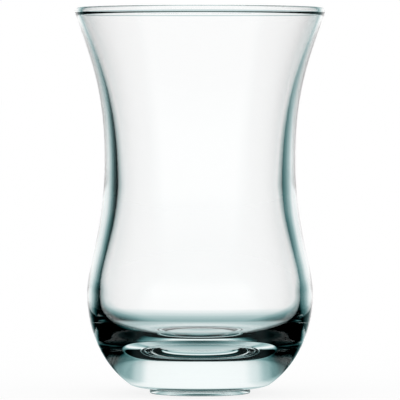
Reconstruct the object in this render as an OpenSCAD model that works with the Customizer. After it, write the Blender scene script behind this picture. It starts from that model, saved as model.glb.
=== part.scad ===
// Hourglass tea glass: one piece of clear glass, turned about the upright axis.
// The origin is the middle of the resting ring, on the surface that the glass stands on.

/* [Outside] */
// Overall height, from the resting ring to the top of the lip
height = 92; // [80:0.5:110]
// Widest diameter of the lip
rim_d = 59.8; // [54:0.2:66]
// Narrowest outside diameter, at the waist
waist_d = 45.5; // [41:0.1:50]
// Height of the outside waist
waist_z = 55.5; // [50:0.5:61]
// Widest outside diameter of the bulb
bulb_d = 53.9; // [50:0.1:58]
// Height of the widest part of the bulb
bulb_z = 24; // [20:0.5:29]
// Outward lean of the wall at the lip, in degrees from upright
rim_flare = 19; // [5:0.5:26]

/* [Walls] */
// Thickness of the rounded lip, which is a bead on the inside
lip_t = 1.7; // [1.1:0.1:2.2]
// How far the inside of the wall lies back from the bead
bead_step = 0.6; // [0.2:0.05:0.65]
// Radius of the hollow turn under the bead
bead_root_r = 0.2; // [0.1:0.05:0.4]
// Wall thickness at the inside waist
waist_wall = 3.1; // [1.6:0.1:4.5]
// Height of the inside waist
bore_waist_z = 49.6; // [44:0.2:56]
// Wall thickness at the bulb
bulb_wall = 3; // [1.8:0.1:4.5]
// Height of the widest part of the inside
bore_bulb_z = 24.6; // [21:0.2:30]
// Thickness of the solid base, from the surface below to the flat of the inside floor
base_t = 10.5; // [8:0.1:14]
// Height of the slight swell in the middle of the inside floor
floor_rise = 0.4; // [0:0.05:0.8]

/* [Base] */
// Diameter of the heel's lower edge, where the side turns in under the base
heel_d = 33.3; // [30:0.1:40]
// Height of the heel's lower edge
heel_z = 2.1; // [1.7:0.1:3.5]
// Slope of the side where it reaches the heel's lower edge, in degrees from level
heel_slope = 35; // [25:1:50]
// Outside diameter of the foot
foot_d = 24; // [20:0.2:27]
// Height of the foot's short upright side
foot_h = 1.2; // [0.9:0.1:1.6]
// Radius of the foot's bottom edge
foot_edge_r = 0.3; // [0.1:0.05:0.5]
// Radius of the turn from the foot's side to the underside
foot_root_r = 0.4; // [0.1:0.05:0.6]
// Width of the flat resting ring
ring_w = 1.2; // [0.8:0.1:4]
// Depth of the hollow under the base
punt_h = 1.5; // [0.4:0.1:3.5]

/* [Hidden] */
$fn = 128;

// Radii that the diameters and walls give
rim_r = rim_d / 2;
waist_r = waist_d / 2;
bulb_r = bulb_d / 2;
heel_r = heel_d / 2;
foot_r = foot_d / 2;
bore_waist_r = waist_r - waist_wall;
bore_bulb_r = bulb_r - bulb_wall;
punt_r = foot_r - foot_edge_r - ring_w;

// The lip is a half round whose middle lies half a lip inside the rim and below the top
lip_r = lip_t / 2;
lip_x = rim_r - lip_r;
lip_z = height - lip_r;
across_wall = [cos(rim_flare), -sin(rim_flare)];
along_wall = [sin(rim_flare), cos(rim_flare)];
lip_outside = [lip_x, lip_z] + lip_r * across_wall;
// On the inside the half round goes on by this angle, down to where a small hollow turn meets it
bead_angle = acos(1 - bead_step / (lip_r + bead_root_r));
bead_drop = (lip_r + bead_root_r) * sin(bead_angle);
bead_root = [lip_x, lip_z] - (lip_r - bead_step + bead_root_r) * across_wall - bead_drop * along_wall;
lip_inside = bead_root + bead_root_r * across_wall;

// How far each upright curve keeps its end direction, as a share of the height between its two ends
heel_low_share = 0.30;
heel_high_share = 0.50;
neck_low_share = 0.20;
neck_high_share = 0.50;
flare_low_share = 0.46;
flare_high_share = 0.32;
bore_flare_low_share = 0.52;
bore_flare_high_share = 0.25;
bore_neck_low_share = 0.24;
bore_neck_high_share = 0.36;
floor_side_share = 0.49;
floor_corner_share = 0.96;
// The same for the curves under the base, as a share of the radius that they cross
underside_low_share = 0.37;
underside_high_share = 0.12;
punt_crown_share = 0.65;
punt_edge_share = 0.21;
// How far out the floor's swell reaches, as a share of the inside radius at the bulb
swell_share = 0.58;

// Number of steps in each long curve, in each short one and in each round
steps = 28;
short_steps = 12;
lip_steps = 20;
edge_steps = 6;

// One cubic curve from a to d that leaves towards b and arrives from c
function curve(a, b, c, d, n = steps) = [
    for (i = [0 : n])
        let (t = i / n, s = 1 - t)
            s * s * s * a + 3 * s * s * t * b + 3 * s * t * t * c + t * t * t * d
];

// Points of a round about a middle point, from one angle to another
function round(middle, r, from, to, n) = [
    for (i = [0 : n])
        let (angle = from + (to - from) * i / n)
            middle + r * [cos(angle), sin(angle)]
];

// The hollow under the base, from the axis out to the resting ring
function punt() = curve(
    [0, punt_h],
    [punt_r * punt_crown_share, punt_h],
    [punt_r * (1 - punt_edge_share), punt_h],
    [punt_r, 0]
);

// The foot's rounded bottom edge, its short upright side and the turn out to the underside
function foot() = concat(
    round([foot_r - foot_edge_r, foot_edge_r], foot_edge_r, -90, 0, edge_steps),
    round([foot_r + foot_root_r, foot_h - foot_root_r], foot_root_r, 180, 90, edge_steps)
);

// The underside between the foot and the heel's lower edge
function underside() =
    let (root_x = foot_r + foot_root_r, run = heel_r - root_x)
        curve(
            [root_x, foot_h],
            [root_x + run * underside_low_share, foot_h],
            [heel_r, heel_z] - run * underside_high_share * [cos(heel_slope), sin(heel_slope)],
            [heel_r, heel_z],
            short_steps
        );

// The side of the base, from the heel's lower edge up to the widest part of the bulb
function heel() = curve(
    [heel_r, heel_z],
    [heel_r, heel_z] + (bulb_z - heel_z) * heel_low_share * [cos(heel_slope), sin(heel_slope)],
    [bulb_r, bulb_z - (bulb_z - heel_z) * heel_high_share],
    [bulb_r, bulb_z]
);

// The outside from the bulb up to the waist
function neck() = curve(
    [bulb_r, bulb_z],
    [bulb_r, bulb_z + (waist_z - bulb_z) * neck_low_share],
    [waist_r, waist_z - (waist_z - bulb_z) * neck_high_share],
    [waist_r, waist_z]
);

// The outside from the waist up to the lip
function flare() = curve(
    [waist_r, waist_z],
    [waist_r, waist_z + (height - waist_z) * flare_low_share],
    lip_outside - (height - waist_z) * flare_high_share * along_wall,
    lip_outside
);

// The rounded lip, over the top from the outside to the inside and through the hollow turn under its bead
function lip() = concat(
    round([lip_x, lip_z], lip_r, -rim_flare, 180 - rim_flare + bead_angle, lip_steps),
    round(bead_root, bead_root_r, bead_angle - rim_flare, -rim_flare, edge_steps)
);

// The inside from the lip down to its waist
function bore_flare() = curve(
    lip_inside,
    lip_inside - (height - bore_waist_z) * bore_flare_high_share * along_wall,
    [bore_waist_r, bore_waist_z + (height - bore_waist_z) * bore_flare_low_share],
    [bore_waist_r, bore_waist_z]
);

// The inside from its waist down to its widest part
function bore_neck() = curve(
    [bore_waist_r, bore_waist_z],
    [bore_waist_r, bore_waist_z - (bore_waist_z - bore_bulb_z) * bore_neck_high_share],
    [bore_bulb_r, bore_bulb_z + (bore_waist_z - bore_bulb_z) * bore_neck_low_share],
    [bore_bulb_r, bore_bulb_z]
);

// A point of the inside floor, lifted by the swell: fully on the axis and not at all past its reach
function swollen(p) =
    let (out = min(1, p[0] / (bore_bulb_r * swell_share)), left = 1 - out * out)
        p + [0, floor_rise * left * left];

// The inside floor, from the widest part round the corner and in to the axis
function bore_floor() = [
    for (
        p = curve(
            [bore_bulb_r, bore_bulb_z],
            [bore_bulb_r, bore_bulb_z - (bore_bulb_z - base_t) * floor_side_share],
            [bore_bulb_r * floor_corner_share, base_t],
            [0, base_t]
        )
    )
        swollen(p)
];

// The half section of the glass: out along the underside, up the outside, over the lip and down the inside
function half_section() = concat(
    punt(),
    foot(),
    underside(),
    heel(),
    neck(),
    flare(),
    lip(),
    bore_flare(),
    bore_neck(),
    bore_floor()
);

// The whole glass
module glass_body() {
    color([0.84, 0.93, 0.92, 0.55])
        rotate_extrude()
            polygon(half_section());
}

glass_body();
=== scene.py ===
import math

import bpy
import numpy as np
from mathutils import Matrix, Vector


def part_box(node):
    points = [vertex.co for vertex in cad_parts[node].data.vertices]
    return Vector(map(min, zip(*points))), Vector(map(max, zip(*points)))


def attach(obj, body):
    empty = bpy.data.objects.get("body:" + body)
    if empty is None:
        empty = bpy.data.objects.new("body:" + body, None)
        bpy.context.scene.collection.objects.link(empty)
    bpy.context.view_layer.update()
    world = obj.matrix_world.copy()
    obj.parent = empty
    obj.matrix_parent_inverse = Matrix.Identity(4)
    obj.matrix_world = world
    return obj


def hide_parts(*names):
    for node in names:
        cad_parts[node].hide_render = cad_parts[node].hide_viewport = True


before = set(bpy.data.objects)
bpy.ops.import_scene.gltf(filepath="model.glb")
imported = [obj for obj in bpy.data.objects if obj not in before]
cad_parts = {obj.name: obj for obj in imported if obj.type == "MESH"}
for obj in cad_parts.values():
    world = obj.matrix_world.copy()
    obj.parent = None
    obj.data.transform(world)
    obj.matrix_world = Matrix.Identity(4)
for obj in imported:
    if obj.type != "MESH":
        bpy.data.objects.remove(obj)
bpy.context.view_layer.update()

mm = 0.001
glassLow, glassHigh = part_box("glass_body")
glassHeight = (glassHigh.z - glassLow.z) / mm
rimRadius = (glassHigh.x - glassLow.x) / 2 / mm
scene = bpy.context.scene
scene.view_settings.view_transform = "Standard"
print("frame loaded, glass height", round(glassHeight, 2), "mm")

# The photograph's view. Azimuth is the direction that the camera looks in, anticlockwise from +Y.
photoView = {
    "azimuth": 225,          # degrees, any will do on a round glass
    "distance": 1.002,       # from the axis
    "eyeHeight": 0.0711,     # above the table
    "aimHeight": 0.0461,     # what the middle of the picture looks at
    "sensor": 36,            # mm
    "pixelsAway": 4200,      # the distance in pixels of the photograph
    "picture": 400,          # pixels each way
    "clip": (0.01, 100),     # nearest and farthest distance that is drawn
}


def lookDirection(azimuth):
    # The level unit vector of a view azimuth
    turn = math.radians(azimuth)
    return Vector((-math.sin(turn), math.cos(turn), 0))


def makeCamera(view):
    # A long lens at the photograph's eye height, aimed at the glass's axis
    data = bpy.data.cameras.new("photoCamera")
    data.sensor_width = view["sensor"]
    data.lens = view["sensor"] * view["pixelsAway"] / view["picture"]
    data.clip_start, data.clip_end = view["clip"]
    camera = bpy.data.objects.new("photoCamera", data)
    scene.collection.objects.link(camera)
    place = -lookDirection(view["azimuth"]) * view["distance"] + Vector((0, 0, view["eyeHeight"]))
    aim = Vector((0, 0, view["aimHeight"]))
    camera.location = place
    camera.rotation_mode = "QUATERNION"
    camera.rotation_quaternion = (aim - place).to_track_quat("-Z", "Y")
    scene.camera = camera
    print("camera made, lens", round(data.lens), "mm")


makeCamera(photoView)

# Light that goes round longer than this inside the thick base is lost, which leaves the base's lobes dark
lightBounces = 8
scene.cycles.max_bounces = lightBounces
scene.cycles.glossy_bounces = lightBounces
scene.cycles.transmission_bounces = lightBounces

white = (1.0, 1.0, 1.0)
black = (0.0, 0.0, 0.0)


def addNode(tree, kind, place, **settings):
    # A node of one kind at a place in the tree, with its settings
    node = tree.nodes.new(kind)
    node.location = place
    for name, value in settings.items():
        setattr(node, name, value)
    return node


def feed(tree, socket, value):
    # What goes into an input: a number, a plain colour or another node's socket
    if isinstance(value, (int, float)):
        socket.default_value = value
    elif isinstance(value, tuple):
        socket.default_value = (*value, 1)
    else:
        tree.links.new(value, socket)


def mathNode(tree, operation, place, *values, clamp=False):
    # A sum on numbers and other nodes' sockets
    node = addNode(tree, "ShaderNodeMath", place, operation=operation, use_clamp=clamp)
    for socket, value in zip(node.inputs, values):
        feed(tree, socket, value)
    return node.outputs[0]


def vectorNode(tree, operation, place, vector):
    # A sum on a direction or place, such as its length
    node = addNode(tree, "ShaderNodeVectorMath", place, operation=operation)
    tree.links.new(vector, node.inputs[0])
    return node


def mapNode(tree, place, value, fromLow, fromHigh, toLow=0.0, toHigh=1.0, kind="SMOOTHSTEP"):
    # A value carried from one range to another, and held at the ends
    node = addNode(tree, "ShaderNodeMapRange", place, interpolation_type=kind)
    tree.links.new(value, node.inputs["Value"])
    numbers = {"From Min": fromLow, "From Max": fromHigh, "To Min": toLow, "To Max": toHigh}
    for name, number in numbers.items():
        node.inputs[name].default_value = number
    return node.outputs["Result"]


def rampNode(tree, place, value, stops):
    # Smooth steps of brightness, each stop a place from 0 to 1 and the level there
    node = addNode(tree, "ShaderNodeValToRGB", place)
    ramp = node.color_ramp
    ramp.interpolation = "EASE"
    ramp.elements.remove(ramp.elements[1])
    for index, (position, level) in enumerate(stops):
        stop = ramp.elements.new(position) if index else ramp.elements[0]
        stop.position = position
        stop.color = (level, level, level, 1)
    tree.links.new(value, node.inputs["Fac"])
    return node.outputs["Color"]


def mixColour(tree, place, factor, first, second):
    # The first colour where the factor is 0 and the second where it is 1.
    # Inputs 6 and 7 and output 2 are the Mix node's sockets for colours.
    node = addNode(tree, "ShaderNodeMix", place, data_type="RGBA")
    for socket, value in ((node.inputs["Factor"], factor), (node.inputs[6], first), (node.inputs[7], second)):
        feed(tree, socket, value)
    return node.outputs[2]


def metGlass(tree, place, path):
    # 1 for light that the glass has mirrored or let through, and 0 for any other
    mirrored, letThrough = path.outputs["Is Glossy Ray"], path.outputs["Is Transmission Ray"]
    return mathNode(tree, "MAXIMUM", place, mirrored, letThrough)


# The light tent that the glass mirrors and bends: a lit sheet behind it, dark flags at both sides
# and a pale room behind the camera. It stands still in the world and is turned to the photograph's view.
tent = {
    # degrees from the viewing direction, leftwards below zero, and brightness at the table's level
    "cards": [
        (-180, 0.95), (-126, 0.95), (-114, 0.0),
        (-48, 0.0), (-42, 0.04), (-37, 0.2), (-31, 0.5), (-24, 0.85), (-18, 1.0),
        (22, 1.0), (28, 0.7), (34, 0.4), (44, 0.2), (56, 0.0),
        (114, 0.0), (126, 0.95), (180, 0.95),
    ],
    # degrees above the table and the share of that brightness left there, on the sheet and in the room
    "sheetFade": [
        (0, 1.0), (8, 1.0), (13, 0.6), (22, 0.72), (31, 0.7), (39, 0.4), (47, 0.05), (90, 0.05),
    ],
    "roomFade": [(0, 1.0), (6, 0.9), (14, 0.3), (24, 0.08), (90, 0.05)],
    # degrees from the viewing direction where the sheet's fade gives way to the room's
    "sheetEnd": 70, "roomStart": 100,
    # painted light and shade of the glass on the table, a painted contact shadow and a painted bright ring,
    # before and behind it and at its flanks: mm from the axis and brightness
    "nearTable": [
        (0, 0.8), (8, 0.6), (11, 0.3), (14, 0.05), (17, 0.78), (20, 0.82), (24, 0.7), (30, 0.65),
    ],
    "flankTable": [(0, 0.8), (11, 0.8), (17, 0.7), (22, 0.45), (30, 0.55)],
    # farther out, the share of the cards' light that the table keeps in the glass's painted shadow; the cards
    # on the table are a painted reflection
    "farTable": [(28, 0.35), (36, 0.5), (46, 0.6), (60, 0.75), (80, 0.88), (110, 1.0)],
    # mm from the axis where the near table gives way to the far one, and how far the three lists reach
    "nearEnd": 25, "farStart": 33, "tableReach": 120,
    # half light is a little teal: red and blue are these powers of the brightness that green has
    "redPower": 1.5, "bluePower": 0.985,
}


def tealShade(tree, place, bright):
    # The tent's colour at a brightness
    colour = addNode(tree, "ShaderNodeCombineColor", place)
    red = mathNode(tree, "POWER", (place[0] - 150, place[1] + 150), bright, tent["redPower"])
    blue = mathNode(tree, "POWER", (place[0] - 150, place[1] - 150), bright, tent["bluePower"])
    for socket, level in zip(colour.inputs, (red, bright, blue)):
        tree.links.new(level, socket)
    return colour.outputs["Color"]


def heightFade(tree, place, up, stops):
    # Share of the light left at a height, which is given as the sine of its angle above the table
    return rampNode(tree, place, up, [(math.sin(math.radians(angle)), left) for angle, left in stops])


def tentGroup():
    # Colour of the tent in a direction: the brightness that the angle from the viewing direction picks on
    # the cards, times the fade at the direction's height, times a share
    group = bpy.data.node_groups.new("tentLight", "ShaderNodeTree")
    group.interface.new_socket("Direction", in_out="INPUT", socket_type="NodeSocketVector")
    group.interface.new_socket("Share", in_out="INPUT", socket_type="NodeSocketFloat")
    group.interface.new_socket("Color", in_out="OUTPUT", socket_type="NodeSocketColor")
    start = addNode(group, "NodeGroupInput", (-1100, 0))
    end = addNode(group, "NodeGroupOutput", (1500, 0))
    level = vectorNode(group, "NORMALIZE", (-900, 0), start.outputs["Direction"])
    parts = addNode(group, "ShaderNodeSeparateXYZ", (-700, 0))
    group.links.new(level.outputs["Vector"], parts.inputs[0])
    # the direction's azimuth, and its angle from the viewing direction between half a turn left and right
    sideways = mathNode(group, "MULTIPLY", (-520, 80), parts.outputs["X"], -1.0)
    turn = mathNode(group, "ARCTAN2", (-340, 60), sideways, parts.outputs["Y"])
    fromView = mathNode(group, "SUBTRACT", (-160, 60), math.radians(photoView["azimuth"]), turn)
    wrapped = mathNode(group, "WRAP", (20, 60), fromView, math.pi, -math.pi)
    share = mapNode(group, (200, 60), wrapped, -math.pi, math.pi, kind="LINEAR")
    cardStops = [((angle + 180) / 360, bright) for angle, bright in tent["cards"]]
    cards = rampNode(group, (400, 160), share, cardStops)
    sheet = heightFade(group, (400, -60), parts.outputs["Z"], tent["sheetFade"])
    room = heightFade(group, (400, -300), parts.outputs["Z"], tent["roomFade"])
    away = mathNode(group, "ABSOLUTE", (200, -100), wrapped)
    sheetEnd, roomStart = math.radians(tent["sheetEnd"]), math.radians(tent["roomStart"])
    behind = mapNode(group, (400, -520), away, sheetEnd, roomStart)
    fade = mixColour(group, (700, -100), behind, sheet, room)
    lit = mathNode(group, "MULTIPLY", (900, 0), cards, fade)
    bright = mathNode(group, "MULTIPLY", (1050, 0), lit, start.outputs["Share"])
    group.links.new(tealShade(group, (1200, 0), bright), end.inputs["Color"])
    return group


tentLight = tentGroup()


def useTent(tree, place, direction, share=1.0):
    # The tent's colour in a direction, times a share
    node = addNode(tree, "ShaderNodeGroup", place, node_tree=tentLight)
    tree.links.new(direction, node.inputs["Direction"])
    feed(tree, node.inputs["Share"], share)
    return node.outputs["Color"]


def makeWorld():
    # White to the camera and as light for the floor, and the tent to light that has met the glass
    world = bpy.data.worlds.new("tentWorld")
    world.use_nodes = True
    scene.world = world
    tree = world.node_tree
    tree.nodes.clear()
    out = addNode(tree, "ShaderNodeOutputWorld", (700, 0))
    shine = addNode(tree, "ShaderNodeBackground", (500, 0))
    where = addNode(tree, "ShaderNodeTexCoord", (-900, 0))
    around = useTent(tree, (-600, 0), where.outputs["Generated"])
    met = metGlass(tree, (-100, 300), addNode(tree, "ShaderNodeLightPath", (-300, 300)))
    tree.links.new(mixColour(tree, (100, 0), met, white, around), shine.inputs["Color"])
    shine.inputs["Strength"].default_value = 1.0
    tree.links.new(shine.outputs[0], out.inputs["Surface"])
    print("world made")


makeWorld()

# The floor shows the same white as the backdrop and keeps a faint shadow
floorPlan = {
    "radius": 30.0, "around": 96,
    "ownLight": 0.86,      # share that shines by itself, the rest takes light and shadow
    "gap": 0.00005,        # air between the resting ring and the floor
}


def tableLevel(tree, place, distance, stops):
    # Brightness by distance from the glass's axis, with the stops in mm
    reach = tent["tableReach"]
    share = mathNode(tree, "DIVIDE", place, distance, reach * mm, clamp=True)
    return rampNode(tree, (place[0] + 200, place[1]), share, [(away / reach, level) for away, level in stops])


def paintedTableLight(tree, where):
    # The table as the glass sees it, all painted: painted light and shade of the glass close by, and a
    # painted reflection of the cards' light farther out
    distance = vectorNode(tree, "LENGTH", (-1300, -200), where).outputs["Value"]
    # share of a place that lies at the glass's flanks: 1 less the squared cosine from the viewing direction
    level = vectorNode(tree, "NORMALIZE", (-1300, -600), where)
    ahead = vectorNode(tree, "DOT_PRODUCT", (-1150, -600), level.outputs["Vector"])
    ahead.inputs[1].default_value = lookDirection(photoView["azimuth"])
    squared = mathNode(tree, "POWER", (-1000, -600), ahead.outputs["Value"], 2.0)
    flank = mathNode(tree, "SUBTRACT", (-850, -600), 1.0, squared)
    # painted contact shadow and painted bright ring round the glass, darker before and behind it than at its
    # flanks
    ends = tableLevel(tree, (-1100, -400), distance, tent["nearTable"])
    flanks = tableLevel(tree, (-1100, -800), distance, tent["flankTable"])
    near = tealShade(tree, (-450, -400), mixColour(tree, (-700, -400), flank, ends, flanks))
    # painted reflection of the tent's cards on the table, dimmed by a painted shadow of the glass
    kept = tableLevel(tree, (-1100, 0), distance, tent["farTable"])
    around = useTent(tree, (-700, 0), where, kept)
    far = mapNode(tree, (-700, -200), distance, tent["nearEnd"] * mm, tent["farStart"] * mm)
    return mixColour(tree, (-400, 0), far, near, around)


def floorMaterial():
    # White to the camera, and painted light and shade of the table to light that has met the glass. To both,
    # a share of it shines and the rest is paint that takes the shadow. To any other light it is white paint.
    material = bpy.data.materials.new("paleFloor")
    material.use_nodes = True
    tree = material.node_tree
    tree.nodes.clear()
    out = addNode(tree, "ShaderNodeOutputMaterial", (900, 0))
    where = addNode(tree, "ShaderNodeTexCoord", (-1500, 0))
    # painted light and shade on the table, which only light that has met the glass sees
    table = paintedTableLight(tree, where.outputs["Object"])
    path = addNode(tree, "ShaderNodeLightPath", (-400, 300))
    met = metGlass(tree, (-200, 300), path)
    own = mathNode(tree, "MAXIMUM", (0, 300), path.outputs["Is Camera Ray"], met)
    seen = mixColour(tree, (0, 0), met, white, table)
    shine = addNode(tree, "ShaderNodeEmission", (300, 100))
    tree.links.new(seen, shine.inputs["Color"])
    strength = mathNode(tree, "MULTIPLY", (100, 200), own, floorPlan["ownLight"])
    tree.links.new(strength, shine.inputs["Strength"])
    paint = addNode(tree, "ShaderNodeBsdfDiffuse", (300, -100))
    share = mathNode(tree, "MULTIPLY_ADD", (100, -300), own, -floorPlan["ownLight"], 1.0)
    tree.links.new(mixColour(tree, (100, -100), share, black, seen), paint.inputs["Color"])
    both = addNode(tree, "ShaderNodeAddShader", (600, 0))
    tree.links.new(shine.outputs[0], both.inputs[0])
    tree.links.new(paint.outputs[0], both.inputs[1])
    tree.links.new(both.outputs[0], out.inputs["Surface"])
    return material


def makeFloor():
    # A flat disc: a middle point and one ring, its radius times the cosine and sine of even turns
    turns = np.linspace(0, 2 * np.pi, floorPlan["around"], endpoint=False)
    ring = np.stack([np.cos(turns), np.sin(turns), np.zeros_like(turns)], 1) * floorPlan["radius"]
    points = np.vstack([[0, 0, 0], ring])
    first = np.arange(1, floorPlan["around"] + 1)
    second = np.roll(first, -1)
    faces = np.stack([np.zeros_like(first), first, second], 1)
    mesh = bpy.data.meshes.new("floor")
    mesh.from_pydata(points.tolist(), [], faces.tolist())
    floor = bpy.data.objects.new("floor", mesh)
    floor.location.z = -floorPlan["gap"]
    scene.collection.objects.link(floor)
    mesh.materials.append(floorMaterial())
    print("floor made")


makeFloor()

# The glass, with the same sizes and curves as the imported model, in mm and degrees
glassSizes = {
    "waistDiameter": 45.5, "waistHeight": 55.5,
    "bulbDiameter": 53.9, "bulbHeight": 24,
    "rimFlare": 19, "lipThickness": 1.7, "beadStep": 0.6, "beadRootRadius": 0.2,
    "waistWall": 3.1, "boreWaistHeight": 49.6,
    "bulbWall": 3, "boreBulbHeight": 24.6,
    "baseThickness": 10.5, "floorRise": 0.4,
    "heelDiameter": 33.3, "heelHeight": 2.1, "heelSlope": 35,
    "footDiameter": 24, "footHeight": 1.2, "footEdgeRadius": 0.3, "footRootRadius": 0.4,
    "ringWidth": 1.2, "puntDepth": 1.5,
    # how far each curve keeps its direction at its first and at its last point, as a share of the run
    # between them. The section is drawn up the outside and down the inside.
    "undersideShares": (0.37, 0.12), "heelShares": (0.30, 0.50), "neckShares": (0.20, 0.50),
    "flareShares": (0.46, 0.32), "boreFlareShares": (0.25, 0.52), "boreNeckShares": (0.36, 0.24),
    # where the inner points of the hollow below and of the inside floor lie, as shares of radius and drop
    "puntShares": (0.65, 0.21), "floorSideShare": 0.49, "floorCornerShare": 0.96,
    # how far out the floor's swell reaches, as a share of the inside radius at the bulb
    "swellShare": 0.58,
    # steps round the axis and in each kind of curve
    "around": 256, "long": 40, "short": 14, "round": 10, "lip": 30,
    # an edge sharper than this stays sharp, and a step shorter than this is left out
    "sharpAngle": 35, "smallestStep": 1e-6,
}


def sectionPoint(radius, height):
    # A point of the half section, or a direction in it
    return np.array((radius, height), float)


# Radii that the diameters and walls give
waistRadius = glassSizes["waistDiameter"] / 2
bulbRadius = glassSizes["bulbDiameter"] / 2
footRadius = glassSizes["footDiameter"] / 2
lipRadius = glassSizes["lipThickness"] / 2
boreBulbRadius = bulbRadius - glassSizes["bulbWall"]

# Points where one stretch of the section ends and the next begins
heelPoint = sectionPoint(glassSizes["heelDiameter"] / 2, glassSizes["heelHeight"])
bulbPoint = sectionPoint(bulbRadius, glassSizes["bulbHeight"])
waistPoint = sectionPoint(waistRadius, glassSizes["waistHeight"])
boreWaistPoint = sectionPoint(waistRadius - glassSizes["waistWall"], glassSizes["boreWaistHeight"])
boreBulbPoint = sectionPoint(boreBulbRadius, glassSizes["boreBulbHeight"])

# Directions in the section: level, upright, up the heel, and along and across the wall at the lip
outwards = sectionPoint(1, 0)
upwards = sectionPoint(0, 1)
heelAngle = math.radians(glassSizes["heelSlope"])
upHeel = sectionPoint(math.cos(heelAngle), math.sin(heelAngle))
flareAngle = math.radians(glassSizes["rimFlare"])
alongWall = sectionPoint(math.sin(flareAngle), math.cos(flareAngle))
acrossWall = sectionPoint(math.cos(flareAngle), -math.sin(flareAngle))

# The lip is a half round. On the inside it goes on as a bead by this angle, down to a small hollow turn.
lipMiddle = sectionPoint(rimRadius - lipRadius, glassHeight - lipRadius)
lipOutside = lipMiddle + lipRadius * acrossWall
beadRootRadius = glassSizes["beadRootRadius"]
beadAngle = math.acos(1 - glassSizes["beadStep"] / (lipRadius + beadRootRadius))
beadDrop = (lipRadius + beadRootRadius) * math.sin(beadAngle)
beadIn = lipRadius - glassSizes["beadStep"] + beadRootRadius
beadRoot = lipMiddle - beadIn * acrossWall - beadDrop * alongWall
lipInside = beadRoot + beadRootRadius * acrossWall


def curve(a, b, c, d, steps=glassSizes["long"]):
    # Cubic from a to d that leaves towards b and arrives from c: with t going from 0 to 1 and s what is left
    # of it, s cubed a, three s squared t b, three s t squared c and t cubed d, added up
    t = np.linspace(0, 1, steps + 1)[:, None]
    s = 1 - t
    return s**3 * a + 3 * s**2 * t * b + 3 * s * t**2 * c + t**3 * d


def stretch(start, startWay, end, endWay, shares, run, steps=glassSizes["long"]):
    # Cubic between two points whose inner points lie along the wall's direction at each end, as far off as
    # that end's share of the run. The run is below zero on the way down.
    return curve(start, start + run * shares[0] * startWay, end - run * shares[1] * endWay, end, steps)


def roundTurn(middle, radius, start, stop, steps):
    # Points of a circle: its middle plus the radius times the cosine and sine of even angles, in degrees
    angle = np.radians(np.linspace(start, stop, steps + 1))[:, None]
    return middle + radius * np.hstack([np.cos(angle), np.sin(angle)])


def punt():
    # The hollow under the base, a cubic from the axis, level at its crown, out and down to the resting ring
    reach = footRadius - glassSizes["footEdgeRadius"] - glassSizes["ringWidth"]
    crown, edge = glassSizes["puntShares"]
    depth = glassSizes["puntDepth"]
    return curve(
        sectionPoint(0, depth), sectionPoint(reach * crown, depth),
        sectionPoint(reach * (1 - edge), depth), sectionPoint(reach, 0),
    )


def foot():
    # The foot's rounded bottom edge and the hollow turn out to the underside, two quarter circles
    edge, root = glassSizes["footEdgeRadius"], glassSizes["footRootRadius"]
    edgeMiddle = sectionPoint(footRadius - edge, edge)
    rootMiddle = sectionPoint(footRadius + root, glassSizes["footHeight"] - root)
    return np.vstack([
        roundTurn(edgeMiddle, edge, -90, 0, glassSizes["round"]),
        roundTurn(rootMiddle, root, 180, 90, glassSizes["round"]),
    ])


def underside():
    # A cubic from the foot, level there, out to the heel's lower edge
    start = sectionPoint(footRadius + glassSizes["footRootRadius"], glassSizes["footHeight"])
    run = heelPoint[0] - start[0]
    shares = glassSizes["undersideShares"]
    return stretch(start, outwards, heelPoint, upHeel, shares, run, glassSizes["short"])


def outside():
    # Three cubics: up the heel to the bulb, in to the waist, and out to the lip, upright at bulb and waist
    heelRun = bulbPoint[1] - heelPoint[1]
    neckRun = waistPoint[1] - bulbPoint[1]
    flareRun = glassHeight - waistPoint[1]
    return np.vstack([
        stretch(heelPoint, upHeel, bulbPoint, upwards, glassSizes["heelShares"], heelRun),
        stretch(bulbPoint, upwards, waistPoint, upwards, glassSizes["neckShares"], neckRun),
        stretch(waistPoint, upwards, lipOutside, alongWall, glassSizes["flareShares"], flareRun),
    ])


def lip():
    # More than half a circle over the top, and back through the hollow turn under the bead
    flare, bead = glassSizes["rimFlare"], math.degrees(beadAngle)
    return np.vstack([
        roundTurn(lipMiddle, lipRadius, -flare, 180 - flare + bead, glassSizes["lip"]),
        roundTurn(beadRoot, beadRootRadius, bead - flare, -flare, glassSizes["round"]),
    ])


def bore():
    # Two cubics down the inside: in to its waist and out to its widest part
    flareRun = boreWaistPoint[1] - glassHeight
    neckRun = boreBulbPoint[1] - boreWaistPoint[1]
    return np.vstack([
        stretch(lipInside, alongWall, boreWaistPoint, upwards, glassSizes["boreFlareShares"], flareRun),
        stretch(boreWaistPoint, upwards, boreBulbPoint, upwards, glassSizes["boreNeckShares"], neckRun),
    ])


def boreFloor():
    # A cubic from the inside's widest part round the corner and in to the axis, lifted by the slight swell:
    # its rise times the square of what is left when the squared share of its reach is taken from 1
    flat = glassSizes["baseThickness"]
    drop = (boreBulbPoint[1] - flat) * glassSizes["floorSideShare"]
    corner = sectionPoint(boreBulbRadius * glassSizes["floorCornerShare"], flat)
    points = curve(boreBulbPoint, boreBulbPoint - drop * upwards, corner, sectionPoint(0, flat))
    reached = np.minimum(1, points[:, 0] / (boreBulbRadius * glassSizes["swellShare"]))
    points[:, 1] += glassSizes["floorRise"] * (1 - reached**2) ** 2
    return points


def halfSection():
    # Radius and height along the glass: out below, up the outside, over the lip and down the inside.
    # The flat resting ring is the straight step from the hollow to the foot.
    points = np.vstack([punt(), foot(), underside(), outside(), lip(), bore(), boreFloor()])
    apart = np.hypot(*np.diff(points, axis=0).T) > glassSizes["smallestStep"]
    return points[np.concatenate([[True], apart])]


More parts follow.
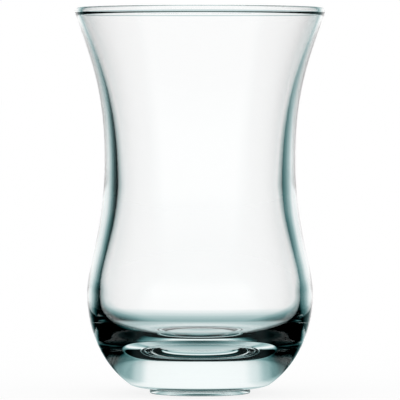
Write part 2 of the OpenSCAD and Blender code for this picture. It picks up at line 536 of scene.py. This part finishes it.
def turnedMesh(name, profile, around):
    # A profile turned about Z: each point's radius times the cosine and sine of even turns, at its height.
    # Its first and last points lie on the axis and become one vertex each.
    angle = np.linspace(0, 2 * np.pi, around, endpoint=False)
    rows = profile[1:-1]
    count = len(rows)
    radius = rows[:, :1]
    height = np.repeat(rows[:, 1:], around, 1)
    grid = np.stack([radius * np.cos(angle), radius * np.sin(angle), height], -1).reshape(-1, 3)
    points = np.vstack([grid, [0, 0, profile[0, 1]], [0, 0, profile[-1, 1]]])
    column = np.arange(around)
    after = np.roll(column, -1)
    low = (np.arange(count - 1) * around)[:, None]
    high = low + around
    quads = np.stack([low + column, low + after, high + after, high + column], -1).reshape(-1, 4)
    # the two points on the axis come after the grid, and a fan of triangles closes each end
    last = (count - 1) * around
    under = np.stack([np.full(around, count * around), after, column], 1)
    over = np.stack([np.full(around, count * around + 1), last + column, last + after], 1)
    mesh = bpy.data.meshes.new(name)
    mesh.from_pydata(points.tolist(), [], quads.tolist() + under.tolist() + over.tolist())
    mesh.polygons.foreach_set("use_smooth", np.ones(len(mesh.polygons), bool))
    mesh.set_sharp_from_angle(angle=math.radians(glassSizes["sharpAngle"]))
    mesh.validate()
    mesh.update()
    return mesh


# Clear soda-lime glass
clearGlass = {
    "ior": 1.52,
    "mirrorTint": (0.35, 0.35, 0.35),   # share of the mirrored light kept face on, and the edges keep all
    "tintColour": (0.88, 0.99, 0.985),  # what is missing from 1, times the density, is lost to the metre
    "tintDensity": 12.0,
    "polishRoughness": 0.0,
    "wornRoughness": 0.22,
    "wornHeight": 0.0004,       # the resting ring's wear reaches this high
    "scratchSize": 1400,        # scratches to the metre
    "scratchDetail": 4,
    "scratchEdges": (0.35, 0.65),   # the noise between these goes from unworn to worn
    "waveSize": 45.0,           # waves to the metre in the fire-polished surface
    "waveDetail": 1,
    "waveDepth": 0.000012,
}


def noise(tree, place, where, size, detail):
    # Soft noise between 0 and 1, so many waves to the metre
    node = addNode(tree, "ShaderNodeTexNoise", place)
    node.inputs["Scale"].default_value = size
    node.inputs["Detail"].default_value = detail
    tree.links.new(where, node.inputs["Vector"])
    return node.outputs["Fac"]


def wornRoughness(tree, where):
    # The resting ring is worn: rougher just above the table, broken up by fine scratches
    parts = addNode(tree, "ShaderNodeSeparateXYZ", (-700, 200))
    tree.links.new(where, parts.inputs[0])
    low = mapNode(tree, (-500, 200), parts.outputs["Z"], 0.0, clearGlass["wornHeight"], 1.0, 0.0)
    scratch = noise(tree, (-700, 0), where, clearGlass["scratchSize"], clearGlass["scratchDetail"])
    broken = mapNode(tree, (-500, 0), scratch, *clearGlass["scratchEdges"])
    worn = mathNode(tree, "MULTIPLY", (-300, 150), low, broken)
    smooth, rough = clearGlass["polishRoughness"], clearGlass["wornRoughness"]
    return mapNode(tree, (-100, 150), worn, 0.0, 1.0, smooth, rough, kind="LINEAR")


def polishWaves(tree, where):
    # Faint waves of the fire polish, as the surface's normal
    bump = addNode(tree, "ShaderNodeBump", (0, -300))
    bump.inputs["Distance"].default_value = clearGlass["waveDepth"]
    waves = noise(tree, (-700, -300), where, clearGlass["waveSize"], clearGlass["waveDetail"])
    tree.links.new(waves, bump.inputs["Height"])
    return bump.outputs["Normal"]


def glassMaterial():
    # Clear glass whose faint tint grows with the thickness that light goes through
    material = bpy.data.materials.new("clearGlass")
    material.use_nodes = True
    tree = material.node_tree
    tree.nodes.clear()
    out = addNode(tree, "ShaderNodeOutputMaterial", (700, 0))
    shader = addNode(tree, "ShaderNodeBsdfPrincipled", (300, 0))
    shader.inputs["Base Color"].default_value = (*white, 1)
    shader.inputs["Metallic"].default_value = 0
    shader.inputs["IOR"].default_value = clearGlass["ior"]
    shader.inputs["Transmission Weight"].default_value = 1
    shader.inputs["Specular Tint"].default_value = (*clearGlass["mirrorTint"], 1)
    where = addNode(tree, "ShaderNodeTexCoord", (-900, 0)).outputs["Object"]
    tree.links.new(wornRoughness(tree, where), shader.inputs["Roughness"])
    tree.links.new(polishWaves(tree, where), shader.inputs["Normal"])
    tint = addNode(tree, "ShaderNodeVolumeAbsorption", (300, -400))
    tint.inputs["Color"].default_value = (*clearGlass["tintColour"], 1)
    tint.inputs["Density"].default_value = clearGlass["tintDensity"]
    tree.links.new(shader.outputs[0], out.inputs["Surface"])
    tree.links.new(tint.outputs[0], out.inputs["Volume"])
    return material


def makeGlass():
    # The turned glass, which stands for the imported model's one solid
    profile = halfSection() * mm
    mesh = turnedMesh("tea_glass_body", profile, glassSizes["around"])
    mesh.materials.append(glassMaterial())
    glass = bpy.data.objects.new("tea_glass_body", mesh)
    scene.collection.objects.link(glass)
    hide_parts("glass_body")
    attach(glass, "root")
    print("glass made,", len(mesh.polygons), "faces,", len(profile), "profile points")


makeGlass()
